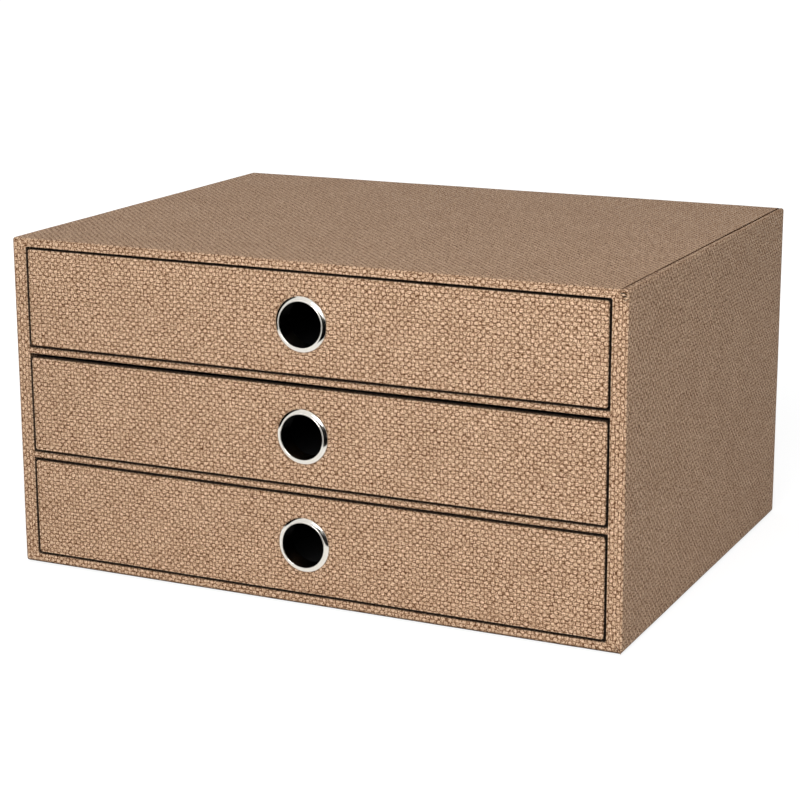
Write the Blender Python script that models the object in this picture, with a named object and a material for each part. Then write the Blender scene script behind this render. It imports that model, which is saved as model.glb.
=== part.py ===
"""File box: a greyboard case covered in woven-look paper, with three drawers that slide out.

Metres, +Z up. The origin is the centre of the base. X runs across the front, and -Y is the front.
Neighbouring layers keep a glue line between them, so every board and paper is its own solid.
"""
import math

import bmesh
import bpy
from mathutils import Matrix

# Case, outside
CASE_WIDTH = 0.335
CASE_DEPTH = 0.254
CASE_HEIGHT = 0.175
CASE_EDGE_ROUND = 0.0012

# Papers and glue lines
COVER_PAPER = 0.0004
LINING_PAPER = 0.0003
GLUE_LINE = 0.0003

# Case boards
TOP_BOARD = 0.0033
BASE_BOARD = 0.0036
SIDE_BOARD = 0.0029
BACK_BOARD = 0.0029
SIDE_LINER = 0.0035
SHELF_BOARD = 0.0020

# Turned-in edges of the papers
MOUTH_TURN_IN = 0.016
CASE_TURN_OVER = 0.012
FRONT_TURN_OVER = 0.010
SHEET_MARGIN = 0.003
SHELF_NOSE_ROUND = 0.0010

# Drawers, from the lowest up, with the gap over each front
DRAWERS = ("bottom_drawer", "middle_drawer", "top_drawer")
FRONT_TOP_GAPS = {"bottom_drawer": 0.0009, "middle_drawer": 0.0017, "top_drawer": 0.0008}
FRONT_BOTTOM_GAP = 0.0008
FRONT_SIDE_GAP = 0.0008
FRONT_BOARD = 0.0030
FRONT_EDGE_ROUND = 0.0010
TRAY_BOARD = 0.0019
TRAY_SIDE_INSET = 0.0005
TRAY_HEADROOM = 0.0025
RUNNING_GAP = 0.0003
STOP_GAP = 0.0003

# Eyelet of the finger hole
EYELET_OPENING_RADIUS = 0.0115
EYELET_BAND = 0.0020
EYELET_WALL = 0.0005
EYELET_PROUD = 0.0013
EYELET_ROLL_REACH = 0.0013
EYELET_ROLL = 0.0006
WASHER_BAND = 0.0020
WASHER_THICKNESS = 0.0005

# Modelling values
CUT_OVERRUN = 0.004
WELD_DISTANCE = 0.000001
TURN_STEPS = 36
DOME_STEPS = 6
COVER_ROUND_STEPS = 3
BOARD_ROUND_STEPS = 1
SMOOTH_ANGLE = math.radians(40)

# Colours, roughness and metallic value of each finish
WOVEN_PAPER = ((0.45, 0.29, 0.19), 0.78, 0.0)
DARK_PAPER = ((0.012, 0.012, 0.013), 0.85, 0.0)
GREYBOARD = ((0.30, 0.27, 0.23), 0.92, 0.0)
BRIGHT_METAL = ((0.86, 0.86, 0.87), 0.12, 1.0)

# Faces of the case's layers, from the outside in
COVER_STEP = COVER_PAPER + GLUE_LINE
LINING_STEP = LINING_PAPER + GLUE_LINE
HALF_WIDTH = CASE_WIDTH / 2
HALF_DEPTH = CASE_DEPTH / 2
BOARD_X = HALF_WIDTH - COVER_STEP
LINER_X = BOARD_X - SIDE_BOARD - GLUE_LINE
LINER_INNER_X = LINER_X - SIDE_LINER
MOUTH_X = LINER_INNER_X - COVER_STEP
BOARD_FRONT_Y = -HALF_DEPTH + COVER_STEP
COVER_BACK_Y = HALF_DEPTH - COVER_STEP
BOARD_BACK_Y = COVER_BACK_Y - COVER_STEP
BACK_BOARD_Y = BOARD_BACK_Y - BACK_BOARD
INSIDE_BACK_Y = BACK_BOARD_Y - GLUE_LINE
COVER_BASE_Z = COVER_STEP
BASE_BOARD_Z = COVER_BASE_Z + COVER_STEP
BASE_BOARD_TOP = BASE_BOARD_Z + BASE_BOARD
MOUTH_FLOOR = BASE_BOARD_TOP + COVER_STEP
TOP_BOARD_TOP = CASE_HEIGHT - COVER_STEP
TOP_BOARD_Z = TOP_BOARD_TOP - TOP_BOARD
MOUTH_CEILING = TOP_BOARD_Z - COVER_STEP

# Shelves and the compartments between them
SHELF_HEIGHT = SHELF_BOARD + 2 * COVER_STEP
SHELF_COUNT = len(DRAWERS) - 1
COMPARTMENT = (MOUTH_CEILING - MOUTH_FLOOR - SHELF_COUNT * SHELF_HEIGHT) / len(DRAWERS)
LEVEL_STEP = COMPARTMENT + SHELF_HEIGHT

# Drawer layers, counted back from the case's front and up from the compartment's floor
FRONT_HALF_WIDTH = MOUTH_X - FRONT_SIDE_GAP
FRONT_LINING_Y = COVER_STEP + FRONT_BOARD + GLUE_LINE
FRONT_BACK_Y = FRONT_LINING_Y + COVER_PAPER
TRAY_Y = FRONT_BACK_Y + GLUE_LINE
TRAY_WALL_Y = TRAY_Y + LINING_STEP
LINING_Y = TRAY_WALL_Y + TRAY_BOARD + GLUE_LINE
TRAY_BACK_Y = BACK_BOARD_Y + HALF_DEPTH - STOP_GAP
TRAY_WALL_BACK_Y = TRAY_BACK_Y - LINING_STEP
LINING_BACK_Y = TRAY_WALL_BACK_Y - TRAY_BOARD - GLUE_LINE
TRAY_X = FRONT_HALF_WIDTH - TRAY_SIDE_INSET
TRAY_WALL_X = TRAY_X - LINING_STEP
TRAY_WALL_INNER_X = TRAY_WALL_X - TRAY_BOARD
LINING_X = TRAY_WALL_INNER_X - GLUE_LINE
TRAY_FLOOR_Z = RUNNING_GAP + LINING_STEP
TRAY_WALL_Z = TRAY_FLOOR_Z + TRAY_BOARD + GLUE_LINE
TRAY_TOP = COMPARTMENT - TRAY_HEADROOM
TRAY_WALL_TOP = TRAY_TOP - LINING_STEP
HOLE_RADIUS = EYELET_OPENING_RADIUS + EYELET_WALL + GLUE_LINE
WASHER_Y = LINING_Y + LINING_STEP
ROLL_Y = WASHER_Y + WASHER_THICKNESS + GLUE_LINE


def clear_scene():
    for thing in list(bpy.data.objects):
        bpy.data.objects.remove(thing, do_unlink=True)


def paint(thing, finish):
    """Give a piece a material of its own."""
    colour, roughness, metallic = finish
    material = bpy.data.materials.new(thing.name)
    material.use_nodes = True
    shader = material.node_tree.nodes["Principled BSDF"]
    shader.inputs["Base Color"].default_value = (*colour, 1.0)
    shader.inputs["Roughness"].default_value = roughness
    shader.inputs["Metallic"].default_value = metallic
    material.diffuse_color = (*colour, 1.0)
    thing.data.materials.append(material)


def link(name, form, place, parent=None):
    """Turn a bmesh into an object at a place in its parent's space."""
    mesh = bpy.data.meshes.new(name)
    form.to_mesh(mesh)
    form.free()
    thing = bpy.data.objects.new(name, mesh)
    thing.parent = parent
    thing.location = place
    bpy.context.scene.collection.objects.link(thing)
    return thing


def block(name, x, y, z, parent=None):
    """A box between the low and high value on each axis."""
    form = bmesh.new()
    bmesh.ops.create_cube(form, size=1.0)
    size = [span[1] - span[0] for span in (x, y, z)]
    bmesh.ops.scale(form, vec=size, verts=form.verts)
    centre = [(span[0] + span[1]) / 2 for span in (x, y, z)]
    return link(name, form, centre, parent)


def round_edges(thing, radius, steps):
    """Round all the edges of a box. A radius that its paper has used up leaves them sharp."""
    if radius <= 0:
        return
    bevel = thing.modifiers.new("rounded edges", "BEVEL")
    bevel.width = radius
    bevel.segments = steps


def board(name, x, y, z, parent=None, edge_round=0.0):
    """A greyboard panel."""
    thing = block(name, x, y, z, parent)
    round_edges(thing, edge_round, BOARD_ROUND_STEPS)
    paint(thing, GREYBOARD)
    return thing


def as_cutter(thing):
    thing.display_type = "WIRE"
    thing.hide_render = True
    return thing


def cutter_block(name, x, y, z, parent=None, edge_round=0.0):
    thing = block(name, x, y, z, parent)
    round_edges(thing, edge_round, COVER_ROUND_STEPS)
    return as_cutter(thing)


def cutter_rod(name, radius, y, z, parent):
    """A round cutter along Y, at a height z."""
    form = bmesh.new()
    bmesh.ops.create_cone(form, cap_ends=True, segments=TURN_STEPS,
                          radius1=radius, radius2=radius, depth=y[1] - y[0])
    bmesh.ops.rotate(form, matrix=Matrix.Rotation(math.pi / 2, 3, "X"), verts=form.verts)
    return as_cutter(link(name, form, (0, (y[0] + y[1]) / 2, z), parent))


def combine(thing, other, operation):
    """Cut another solid out of a piece, or join it on."""
    boolean = thing.modifiers.new(other.name, "BOOLEAN")
    boolean.operation = operation
    boolean.solver = "EXACT"
    boolean.object = other


def cut(thing, *cutters):
    for cutter in cutters:
        combine(thing, cutter, "DIFFERENCE")


def both_ways(half):
    return (-half, half)


def arc(centre, radius, start, steps):
    """Points of a quarter circle, turning clockwise from a start angle."""
    angles = [start - math.pi / 2 * step / steps for step in range(steps + 1)]
    return [(centre[0] + radius * math.cos(angle), centre[1] + radius * math.sin(angle))
            for angle in angles]


def case_cover():
    """The sheet over the sides and top, turned in at the mouth and over at the back and base."""
    cover = block("case_cover", both_ways(HALF_WIDTH), (-HALF_DEPTH, COVER_BACK_Y),
                  (COVER_BASE_Z, CASE_HEIGHT))
    round_edges(cover, CASE_EDGE_ROUND, COVER_ROUND_STEPS)
    cut(cover, cutter_block(
        "case_cover_hollow", both_ways(HALF_WIDTH - COVER_PAPER),
        (-HALF_DEPTH + COVER_PAPER, COVER_BACK_Y - COVER_PAPER),
        (COVER_BASE_Z + COVER_PAPER, CASE_HEIGHT - COVER_PAPER),
        edge_round=CASE_EDGE_ROUND - COVER_PAPER))
    combine(cover, mouth_sleeve(), "UNION")
    cut(cover, cutter_block(
        "case_mouth", both_ways(MOUTH_X),
        (-HALF_DEPTH - CUT_OVERRUN, -HALF_DEPTH + MOUTH_TURN_IN + CUT_OVERRUN),
        (MOUTH_FLOOR, MOUTH_CEILING)))
    cut(cover, *cover_windows())
    cut(cover, *shelf_slots())
    paint(cover, WOVEN_PAPER)


def mouth_sleeve():
    """The block that the paper's turned-in edge around the mouth is cut from."""
    return cutter_block(
        "case_mouth_sleeve", both_ways(MOUTH_X + COVER_PAPER),
        (-HALF_DEPTH + COVER_PAPER / 2, -HALF_DEPTH + MOUTH_TURN_IN),
        (MOUTH_FLOOR - COVER_PAPER, MOUTH_CEILING + COVER_PAPER))


def cover_windows():
    """What the cover's turned-over edges leave open, at the back and under the base."""
    back = cutter_block(
        "case_cover_back_window", both_ways(HALF_WIDTH - CASE_TURN_OVER),
        (COVER_BACK_Y - CUT_OVERRUN, COVER_BACK_Y + CUT_OVERRUN),
        (CASE_TURN_OVER, CASE_HEIGHT - CASE_TURN_OVER))
    base = cutter_block(
        "case_cover_base_window", both_ways(HALF_WIDTH - CASE_TURN_OVER),
        (-HALF_DEPTH + CASE_TURN_OVER, HALF_DEPTH - CASE_TURN_OVER),
        (COVER_BASE_Z - COVER_PAPER, BASE_BOARD_Z - GLUE_LINE / 2))
    return back, base


def shelf_levels():
    """The underside of each shelf, covers included."""
    return [MOUTH_FLOOR + COMPARTMENT + LEVEL_STEP * level for level in range(SHELF_COUNT)]


def shelf_slots():
    """Slots in the turned-in edge, where the shelf boards pass through to the sides."""
    slots = []
    for level, under in enumerate(shelf_levels()):
        for side in (-1, 1):
            inner = side * (MOUTH_X - GLUE_LINE)
            outer = side * (MOUTH_X + COVER_STEP)
            slots.append(cutter_block(
                f"shelf_slot_{level}_{'left' if side < 0 else 'right'}",
                (min(inner, outer), max(inner, outer)),
                (-HALF_DEPTH + COVER_PAPER, -HALF_DEPTH + MOUTH_TURN_IN + CUT_OVERRUN),
                (under + COVER_PAPER, under + SHELF_HEIGHT - COVER_PAPER)))
    return slots


def case_boards():
    """Base and top over the full width, with the sides and the back between them."""
    edge = CASE_EDGE_ROUND - COVER_STEP
    depth = (BOARD_FRONT_Y, BOARD_BACK_Y)
    between = (BASE_BOARD_TOP + GLUE_LINE, TOP_BOARD_Z - GLUE_LINE)
    board("base_board", both_ways(BOARD_X), depth, (BASE_BOARD_Z, BASE_BOARD_TOP),
          edge_round=edge)
    board("top_board", both_ways(BOARD_X), depth, (TOP_BOARD_Z, TOP_BOARD_TOP), edge_round=edge)
    board("left_board", (-BOARD_X, -BOARD_X + SIDE_BOARD), depth, between, edge_round=edge)
    board("right_board", (BOARD_X - SIDE_BOARD, BOARD_X), depth, between, edge_round=edge)
    board("back_board", both_ways(LINER_X), (BACK_BOARD_Y, BOARD_BACK_Y), between)


def side_liners():
    """Three panels up each side. The shelves rest on them and are held down by the next ones."""
    unders = [under + COVER_PAPER for under in shelf_levels()]
    overs = [under + SHELF_HEIGHT - COVER_PAPER for under in shelf_levels()]
    lows = [BASE_BOARD_TOP + GLUE_LINE] + overs
    highs = unders + [TOP_BOARD_Z - GLUE_LINE]
    for drawer, low, high in zip(DRAWERS, lows, highs):
        level = drawer.split("_")[0]
        depth = (BOARD_FRONT_Y, INSIDE_BACK_Y)
        board(f"left_liner_{level}", (-LINER_X, -LINER_INNER_X), depth, (low, high))
        board(f"right_liner_{level}", (LINER_INNER_X, LINER_X), depth, (low, high))


def shelf_cover_outline(under):
    """The paper folded over a shelf's front edge, seen from the side, as points (y, z)."""
    over = under + SHELF_HEIGHT
    front = -HALF_DEPTH
    nose = SHELF_NOSE_ROUND
    inside = max(nose - COVER_PAPER, 0)
    outer = [(INSIDE_BACK_Y, under)]
    outer += arc((front + nose, under + nose), nose, -math.pi / 2, COVER_ROUND_STEPS)
    outer += arc((front + nose, over - nose), nose, math.pi, COVER_ROUND_STEPS)
    outer += [(INSIDE_BACK_Y, over)]
    inner_front = front + COVER_PAPER + inside
    low = under + COVER_PAPER
    high = over - COVER_PAPER
    inner = [(INSIDE_BACK_Y, low)]
    inner += arc((inner_front, low + inside), inside, -math.pi / 2, COVER_ROUND_STEPS)
    inner += arc((inner_front, high - inside), inside, math.pi, COVER_ROUND_STEPS)
    inner += [(INSIDE_BACK_Y, high)]
    return outer + inner[::-1]


def extruded(name, outline, x):
    """A solid with an outline of (y, z) points, extruded along X."""
    form = bmesh.new()
    face = form.faces.new([form.verts.new((x[0], *point)) for point in outline])
    swept = bmesh.ops.extrude_face_region(form, geom=[face])
    moved = [part for part in swept["geom"] if isinstance(part, bmesh.types.BMVert)]
    bmesh.ops.translate(form, vec=(x[1] - x[0], 0, 0), verts=moved)
    bmesh.ops.remove_doubles(form, verts=form.verts, dist=WELD_DISTANCE)
    bmesh.ops.recalc_face_normals(form, faces=form.faces)
    return link(name, form, (0, 0, 0))


def shelves():
    names = ("lower_shelf", "upper_shelf")
    for name, under in zip(names, shelf_levels()):
        board(name, both_ways(LINER_X), (BOARD_FRONT_Y, INSIDE_BACK_Y),
              (under + COVER_STEP, under + COVER_STEP + SHELF_BOARD),
              edge_round=SHELF_NOSE_ROUND - COVER_STEP)
        cover = extruded(f"{name}_cover", shelf_cover_outline(under),
                         both_ways(MOUTH_X - GLUE_LINE))
        paint(cover, WOVEN_PAPER)


def case_sheets():
    """The sheets glued over the turned-over edges, and the one inside on the base board."""
    inset = both_ways(HALF_WIDTH - SHEET_MARGIN)
    base = block("base_sheet", inset, both_ways(HALF_DEPTH - SHEET_MARGIN), (0, COVER_PAPER))
    back = block("back_sheet", inset, (HALF_DEPTH - COVER_PAPER, HALF_DEPTH),
                 (COVER_BASE_Z + SHEET_MARGIN, CASE_HEIGHT - SHEET_MARGIN))
    lining = block("base_lining", both_ways(LINER_INNER_X - GLUE_LINE),
                   (-HALF_DEPTH + MOUTH_TURN_IN + GLUE_LINE, INSIDE_BACK_Y),
                   (MOUTH_FLOOR - COVER_PAPER, MOUTH_FLOOR))
    paint(base, WOVEN_PAPER)
    paint(back, WOVEN_PAPER)
    paint(lining, DARK_PAPER)


def drawer_front(name, anchor, z, hole):
    """The board of a drawer front and the paper around it."""
    front_board = board(f"{name}_front_board", both_ways(FRONT_HALF_WIDTH - COVER_STEP),
                        (COVER_STEP, COVER_STEP + FRONT_BOARD),
                        (z[0] + COVER_STEP, z[1] - COVER_STEP), anchor,
                        edge_round=FRONT_EDGE_ROUND - COVER_STEP)
    cut(front_board, hole)
    cover = block(f"{name}_front_cover", both_ways(FRONT_HALF_WIDTH), (0, FRONT_BACK_Y), z, anchor)
    round_edges(cover, FRONT_EDGE_ROUND, COVER_ROUND_STEPS)
    hollow = cutter_block(f"{name}_front_hollow", both_ways(FRONT_HALF_WIDTH - COVER_PAPER),
                          (COVER_PAPER, FRONT_LINING_Y),
                          (z[0] + COVER_PAPER, z[1] - COVER_PAPER), anchor,
                          edge_round=FRONT_EDGE_ROUND - COVER_PAPER)
    window = cutter_block(f"{name}_front_window", both_ways(FRONT_HALF_WIDTH - FRONT_TURN_OVER),
                          (FRONT_LINING_Y - GLUE_LINE / 2, FRONT_BACK_Y + CUT_OVERRUN),
                          (z[0] + FRONT_TURN_OVER, z[1] - FRONT_TURN_OVER), anchor)
    cut(cover, hollow, window, hole)
    paint(cover, WOVEN_PAPER)


def tray_boards(name, anchor, hole):
    """The floor with four walls standing on it."""
    upright = (TRAY_WALL_Z, TRAY_WALL_TOP)
    depth = (TRAY_WALL_Y, TRAY_WALL_BACK_Y)
    board(f"{name}_tray_floor", both_ways(TRAY_WALL_X), depth,
          (TRAY_FLOOR_Z, TRAY_FLOOR_Z + TRAY_BOARD), anchor)
    board(f"{name}_tray_left", (-TRAY_WALL_X, -TRAY_WALL_INNER_X), depth, upright, anchor)
    board(f"{name}_tray_right", (TRAY_WALL_INNER_X, TRAY_WALL_X), depth, upright, anchor)
    board(f"{name}_tray_rear", both_ways(LINING_X),
          (TRAY_WALL_BACK_Y - TRAY_BOARD, TRAY_WALL_BACK_Y), upright, anchor)
    front = board(f"{name}_tray_front", both_ways(LINING_X),
                  (TRAY_WALL_Y, TRAY_WALL_Y + TRAY_BOARD), upright, anchor)
    cut(front, hole)


def tray_papers(name, anchor, hole):
    """The outside paper, folded over the walls' top edges, and the lining inside."""
    cover = block(f"{name}_tray_cover", both_ways(TRAY_X), (TRAY_Y, TRAY_BACK_Y),
                  (RUNNING_GAP, TRAY_TOP), anchor)
    hollow = cutter_block(f"{name}_tray_hollow", both_ways(TRAY_X - LINING_PAPER),
                          (TRAY_Y + LINING_PAPER, TRAY_BACK_Y - LINING_PAPER),
                          (RUNNING_GAP + LINING_PAPER, TRAY_TOP - LINING_PAPER), anchor)
    mouth = cutter_block(f"{name}_tray_mouth", both_ways(TRAY_WALL_INNER_X),
                         (TRAY_WALL_Y + TRAY_BOARD, TRAY_WALL_BACK_Y - TRAY_BOARD),
                         (TRAY_WALL_TOP, TRAY_TOP + CUT_OVERRUN), anchor)
    cut(cover, hollow, mouth, hole)
    paint(cover, DARK_PAPER)
    lining = block(f"{name}_lining", both_ways(LINING_X), (LINING_Y, LINING_BACK_Y),
                   (TRAY_WALL_Z, TRAY_TOP), anchor)
    inside = cutter_block(f"{name}_lining_inside", both_ways(LINING_X - LINING_PAPER),
                          (LINING_Y + LINING_PAPER, LINING_BACK_Y - LINING_PAPER),
                          (TRAY_WALL_Z + LINING_PAPER, TRAY_TOP + CUT_OVERRUN), anchor)
    cut(lining, inside, hole)
    paint(lining, DARK_PAPER)


def turned_ring(name, profile, height, anchor):
    """A ring around Y with a closed profile of (radius, y) points."""
    form = bmesh.new()
    points = [form.verts.new((radius, y, 0)) for radius, y in profile]
    for start, end in zip(points, points[1:] + points[:1]):
        form.edges.new((start, end))
    bmesh.ops.spin(form, geom=form.verts[:] + form.edges[:], cent=(0, 0, 0), axis=(0, 1, 0),
                   angle=2 * math.pi, steps=TURN_STEPS, use_merge=True)
    bmesh.ops.remove_doubles(form, verts=form.verts, dist=WELD_DISTANCE)
    bmesh.ops.recalc_face_normals(form, faces=form.faces)
    ring = link(name, form, (0, 0, height), anchor)
    ring.data.shade_smooth()
    ring.data.set_sharp_from_angle(angle=SMOOTH_ANGLE)
    paint(ring, BRIGHT_METAL)


def eyelet_profile():
    """A domed flange over the front, a barrel through it, and a roll over the washer behind."""
    seat = -GLUE_LINE
    half_band = EYELET_BAND / 2
    middle = EYELET_OPENING_RADIUS + half_band
    rise = EYELET_PROUD - GLUE_LINE
    angles = [math.pi * step / DOME_STEPS for step in range(DOME_STEPS + 1)]
    dome = [(middle + half_band * math.cos(angle), seat - rise * math.sin(angle))
            for angle in angles]
    barrel_radius = EYELET_OPENING_RADIUS + EYELET_WALL
    roll_radius = barrel_radius + EYELET_ROLL_REACH
    roll_back = ROLL_Y + EYELET_ROLL
    roll = [(EYELET_OPENING_RADIUS, roll_back), (roll_radius, roll_back), (roll_radius, ROLL_Y),
            (barrel_radius, ROLL_Y), (barrel_radius, seat)]
    return dome + roll


def washer_profile():
    back = WASHER_Y + WASHER_THICKNESS
    rim = HOLE_RADIUS + WASHER_BAND
    return [(HOLE_RADIUS, WASHER_Y), (rim, WASHER_Y), (rim, back), (HOLE_RADIUS, back)]


def drawer(name, floor):
    """One drawer, hung on an empty at its compartment's front and floor."""
    anchor = bpy.data.objects.new(f"{name}_slide", None)
    anchor.location = (0, -HALF_DEPTH, floor)
    bpy.context.scene.collection.objects.link(anchor)
    front = (FRONT_BOTTOM_GAP, COMPARTMENT - FRONT_TOP_GAPS[name])
    height = (front[0] + front[1]) / 2
    hole = cutter_rod(f"{name}_finger_hole", HOLE_RADIUS, (-CUT_OVERRUN, LINING_Y + CUT_OVERRUN),
                      height, anchor)
    drawer_front(name, anchor, front, hole)
    tray_boards(name, anchor, hole)
    tray_papers(name, anchor, hole)
    turned_ring(f"{name}_eyelet", eyelet_profile(), height, anchor)
    turned_ring(f"{name}_eyelet_washer", washer_profile(), height, anchor)


clear_scene()
case_cover()
case_boards()
side_liners()
shelves()
case_sheets()
for index, drawer_name in enumerate(DRAWERS):
    drawer(drawer_name, MOUTH_FLOOR + LEVEL_STEP * index)
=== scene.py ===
"""The looks of the file box: papers, folds, eyelets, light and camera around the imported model.

Metres, +Z up, and -Y is the front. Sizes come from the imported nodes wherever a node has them.
"""
import math
from collections import namedtuple

import bmesh
import bpy
from mathutils import Matrix, Vector, noise

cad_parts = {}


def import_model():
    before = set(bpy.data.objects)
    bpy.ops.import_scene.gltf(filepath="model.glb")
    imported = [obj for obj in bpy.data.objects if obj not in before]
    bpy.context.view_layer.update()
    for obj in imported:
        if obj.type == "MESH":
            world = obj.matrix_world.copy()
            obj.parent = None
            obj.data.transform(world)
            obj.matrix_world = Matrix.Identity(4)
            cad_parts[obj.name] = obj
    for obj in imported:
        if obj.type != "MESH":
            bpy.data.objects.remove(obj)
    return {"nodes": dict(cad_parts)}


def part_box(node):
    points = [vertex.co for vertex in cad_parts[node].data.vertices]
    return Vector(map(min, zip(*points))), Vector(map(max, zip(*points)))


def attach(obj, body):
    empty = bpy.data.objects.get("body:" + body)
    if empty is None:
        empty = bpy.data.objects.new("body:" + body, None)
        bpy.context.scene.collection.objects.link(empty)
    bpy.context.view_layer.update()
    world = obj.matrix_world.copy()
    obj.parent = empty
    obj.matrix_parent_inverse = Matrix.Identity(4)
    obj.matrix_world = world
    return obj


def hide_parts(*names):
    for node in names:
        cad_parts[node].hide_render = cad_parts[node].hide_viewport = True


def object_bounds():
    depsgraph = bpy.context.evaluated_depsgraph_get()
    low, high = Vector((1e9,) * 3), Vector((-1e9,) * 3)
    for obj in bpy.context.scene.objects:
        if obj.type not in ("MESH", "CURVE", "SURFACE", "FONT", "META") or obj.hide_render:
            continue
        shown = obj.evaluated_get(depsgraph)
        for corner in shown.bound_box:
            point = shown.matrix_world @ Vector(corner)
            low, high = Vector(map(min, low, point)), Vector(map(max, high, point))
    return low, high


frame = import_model()
CAD_LOW, CAD_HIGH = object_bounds()

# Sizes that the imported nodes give
CASE_LOW, CASE_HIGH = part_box("case_cover")
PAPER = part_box("base_sheet")[1].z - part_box("base_sheet")[0].z
GLUE = CASE_LOW.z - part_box("base_sheet")[1].z
STEP = PAPER + GLUE
MOUTH_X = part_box("right_liner_bottom")[0].x - STEP
MOUTH_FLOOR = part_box("base_board")[1].z + STEP
MOUTH_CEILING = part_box("top_board")[0].z - STEP
TURN_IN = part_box("base_lining")[0].y - GLUE - CASE_LOW.y

# Radii of the papers' bends and corners, how far their edges turn over or in, and the
# thickness of the dark papers
CASE_EDGE = 0.0014
MOUTH_EDGE = 0.0006
MOUTH_CORNER = 0.0009
CASE_TURN_OVER = 0.012
FRONT_EDGE = 0.0006
FRONT_CORNER = 0.0014
FRONT_BACK_EDGE = 0.0008
FRONT_TURN_OVER = 0.010
SHELF_NOSE = 0.0011
SHELF_REACH = 0.0006
TRAY_EDGE = 0.0010
TRAY_RIM = 0.0009
TRAY_CORNER = 0.0014
TRAY_TURN_IN = 0.012
DARK_PAPER = 0.0003
LINING_EDGE = 0.0008
LINING_DROP = 0.0035
SHEET_CORNER = 0.0015
SMALLEST_CORNER = 0.00015

# Room that the uneven papers leave to the CAD model's box and to each other
CASE_ROOM = 0.00012
FRONT_ROOM = 0.00028

# The seam where the sheet's end is glued down along the top's right edge. SEAM_TIGHT is the
# share of its width that it has at the front.
SEAM_INSET = 0.0032
SEAM_X = CASE_HIGH.x - SEAM_INSET
SEAM_LEAN = 0.0014
SEAM_WIDTH = 0.00110
SEAM_TIGHT = 0.50
SEAM_WAVE = 0.024
SEAM_UNEVEN = 0.25
SEAM_WALL = 0.00006
SEAM_DEPTH = 0.00036
SEAM_START = 0.0010

# Unevenness of board and paper. Without a seed, noise_vector would be another in each run.
BROAD_WAVE = 0.045
BROAD_WOBBLE = 0.00012
FINE_WAVE = 0.009
FINE_WOBBLE = 0.00005
NOISE_SEED = 1
noise.seed_set(NOISE_SEED)

# Where each paper stands in that noise
CASE_PATCH = 3.0
FLAT_PATCH = 11.0
SHELF_PATCHES = {"lower_shelf_cover": 17.0, "upper_shelf_cover": 23.0}
FRONT_PATCHES = {"bottom_drawer": 31.0, "middle_drawer": 38.0, "top_drawer": 45.0}

# How finely the papers are modelled
WIDE_STEPS = 72
TALL_STEPS = 36
FRONT_STEPS = 18
DEEP_STEPS = 24
EDGE_STEPS = 5
CORNER_STEPS = 3
WELD = 0.000002
SMOOTH_ANGLE = math.radians(35)

# Rows of points between two bends, as shares of the way. HOLE_SHARES runs out from the hole.
WALL_SHARES = (0.25, 0.5, 0.75)
LINING_SHARES = (0.5, 1.0)
HOLE_SHARES = (1.0, 0.93, 0.8, 0.6, 0.3)

Rect = namedtuple("Rect", "p0 p1 q0 q1")
Hole = namedtuple("Hole", "x z radius")

# One line of points round a paper. to_hole is the share of the way that it is drawn in to a hole.
Row = namedtuple("Row", "rect corner depth to_hole", defaults=(0.0,))

# Each side of a rectangle: its outward direction, and the direction that its points run in
SIDES = {
    "bottom": (Vector((0, -1)), Vector((1, 0))),
    "right": (Vector((1, 0)), Vector((0, 1))),
    "top": (Vector((0, 1)), Vector((-1, 0))),
    "left": (Vector((-1, 0)), Vector((0, -1))),
}


def upright(p, q, depth):
    """A point of a skin that faces the front, where depth runs back."""
    return Vector((p, depth, q))


def level(p, q, depth):
    """A point of a skin that lies flat, where depth runs up."""
    return Vector((p, q, depth))


def grown(rect, by):
    return Rect(rect.p0 - by, rect.p1 + by, rect.q0 - by, rect.q1 + by)


def shrunk(rect, by):
    return grown(rect, -by)


def between(start, end, share):
    return Rect(*(a + (b - a) * share for a, b in zip(start, end)))


def ridge(rect):
    """The line that a rectangle shrinks to."""
    return shrunk(rect, min(rect.p1 - rect.p0, rect.q1 - rect.q0) / 2)


def rounded(corner, inset):
    return max(corner - inset, SMALLEST_CORNER)


def quarter():
    """The angles of a quarter turn, from 0 to 90 degrees."""
    return [math.pi / 2 * step / EDGE_STEPS for step in range(EDGE_STEPS + 1)]


def evenly(steps):
    return [step / steps for step in range(steps + 1)]


def even_shares(wide, tall):
    """Evenly spaced columns of points along each side, as shares of it."""
    return {side: evenly(wide if side in ("top", "bottom") else tall) for side in SIDES}


def near_bend(rect, edge, corner, near, inset):
    """Rows of the bend from the near face to the sides, at an inset into the paper."""
    rows = []
    for angle in quarter():
        shrink = inset + (edge - inset) * (1 - math.sin(angle))
        depth = near + inset + (edge - inset) * (1 - math.cos(angle))
        rows.append(Row(shrunk(rect, shrink), rounded(corner, shrink), depth))
    return rows


def far_bend(rect, edge, corner, far, inset):
    """Rows of the bend from the sides to the far face, at an inset into the paper."""
    rows = []
    for angle in quarter():
        shrink = inset + (edge - inset) * (1 - math.cos(angle))
        depth = far - inset - (edge - inset) * (1 - math.sin(angle))
        rows.append(Row(shrunk(rect, shrink), rounded(corner, shrink), depth))
    return rows


def wobble(point, patch):
    """How far board and paper stray from flat at a point."""
    offset = Vector((patch, patch / 2, -patch))
    broad = noise.noise_vector(point / BROAD_WAVE + offset) * BROAD_WOBBLE
    fine = noise.noise_vector(point / FINE_WAVE + offset) * FINE_WOBBLE
    return broad + fine


def uneven(patch):
    """The change of form that makes a paper uneven."""
    return lambda point: point + wobble(point, patch)


def kept_inside(point):
    """The point, or the nearest one in the CAD model's box."""
    return Vector([min(max(value, low), high)
                   for value, low, high in zip(point, CAD_LOW, CAD_HIGH)])


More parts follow.
